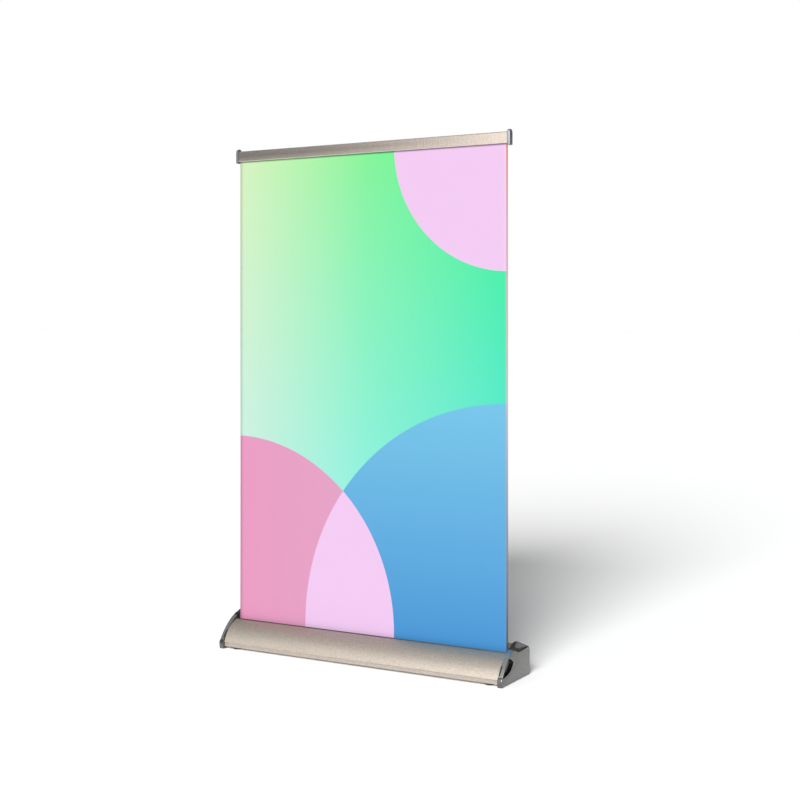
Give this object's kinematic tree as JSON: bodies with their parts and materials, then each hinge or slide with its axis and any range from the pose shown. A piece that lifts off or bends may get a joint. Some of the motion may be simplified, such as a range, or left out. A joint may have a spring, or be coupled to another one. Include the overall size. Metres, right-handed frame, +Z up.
{
  "type": "roll-up banner stand",
  "caption": "Tabletop roll-up banner stand: curved metal cassette with bright end caps, sprung roller, telescopic rear pole, slim top rail and a printed film sheet.",
  "frame": {"origin": "on the floor under the middle of the whole stand's box", "axes": "+X along the cassette to the viewer's right, +Y to the back where the pole stands, +Z up"},
  "size_m": [0.31, 0.0604, 0.4983],
  "materials": {
    "champagne_aluminium": "satin anodised, warm grey, fine grain along the length",
    "rail_aluminium": "satin anodised, fine grain along the length",
    "pole_aluminium": "drawn tube, satin",
    "chrome_cap": "chromed plastic, bright",
    "black_plastic": "moulded, fine texture",
    "milky_plastic": "extruded strip, matt",
    "foot_rubber": "matt",
    "screw_steel": "zinc plated",
    "printed_film": "satin film with an abstract colour gradient",
    "leader_film": "plain matt film"
  },
  "bodies": {
    "base": {"cassette_extrusion": "champagne_aluminium", "end_cap_left": "chrome_cap", "end_cap_right": "chrome_cap", "cap_screw_front_left": "screw_steel", "cap_screw_front_right": "screw_steel", "cap_screw_rear_left": "screw_steel", "cap_screw_rear_right": "screw_steel", "foot_front_left": "foot_rubber", "foot_front_right": "foot_rubber", "foot_rear_left": "foot_rubber", "foot_rear_right": "foot_rubber", "pole_socket": "black_plastic", "socket_screw_left": "screw_steel", "socket_screw_right": "screw_steel", "spring_shaft": "screw_steel", "spring_anchor": "screw_steel", "torsion_spring": "screw_steel"},
    "roller": {"roller_tube": "pole_aluminium", "idler_plug": "black_plastic", "roller_bush": "black_plastic", "spring_drive_plug": "black_plastic", "leader_strip": "leader_film", "wound_film": "printed_film"},
    "pole_lower": {"pole_foot_plug": "black_plastic", "pole_lower_tube": "pole_aluminium", "lower_collar": "black_plastic"},
    "pole_middle": {"pole_middle_tube": "pole_aluminium", "middle_collar": "black_plastic"},
    "pole_inner": {"pole_inner_tube": "pole_aluminium", "pole_tip": "black_plastic"},
    "rail": {"rail_profile": "rail_aluminium", "rail_clamp_strip": "milky_plastic", "rail_end_cap_left": "chrome_cap", "rail_end_cap_right": "chrome_cap", "rail_bracket": "black_plastic", "bracket_screw_left": "screw_steel", "bracket_screw_right": "screw_steel", "graphic_sheet": "printed_film"}
  },
  "joints": [
    {"name": "roller_turn", "type": "hinge", "parent": "base", "child": "roller", "pos_m": [0, -0.0113, 0.0126], "axis": [1, 0, 0], "range_deg": [-2150, 0]},
    {"name": "pole_lift", "type": "slide", "parent": "base", "child": "pole_lower", "axis": [0, 0, 1], "range_m": [0, 0.011]},
    {"name": "pole_middle_slide", "type": "slide", "parent": "pole_lower", "child": "pole_middle", "axis": [0, 0, 1], "range_m": [-0.14, 0], "deforming": ["graphic_sheet"]},
    {"name": "pole_inner_slide", "type": "slide", "parent": "pole_middle", "child": "pole_inner", "axis": [0, 0, 1], "range_m": [-0.14, 0]},
    {"name": "rail_lift", "type": "slide", "parent": "pole_inner", "child": "rail", "axis": [0, 0, 1], "range_m": [0, 0.0085]}
  ],
  "couplings": [
    {"joint": "pole_inner_slide", "follows": "pole_middle_slide", "ratio": 1},
    {"joint": "roller_turn", "follows": "pole_middle_slide", "rad_per_m": 266.67}
  ]
}
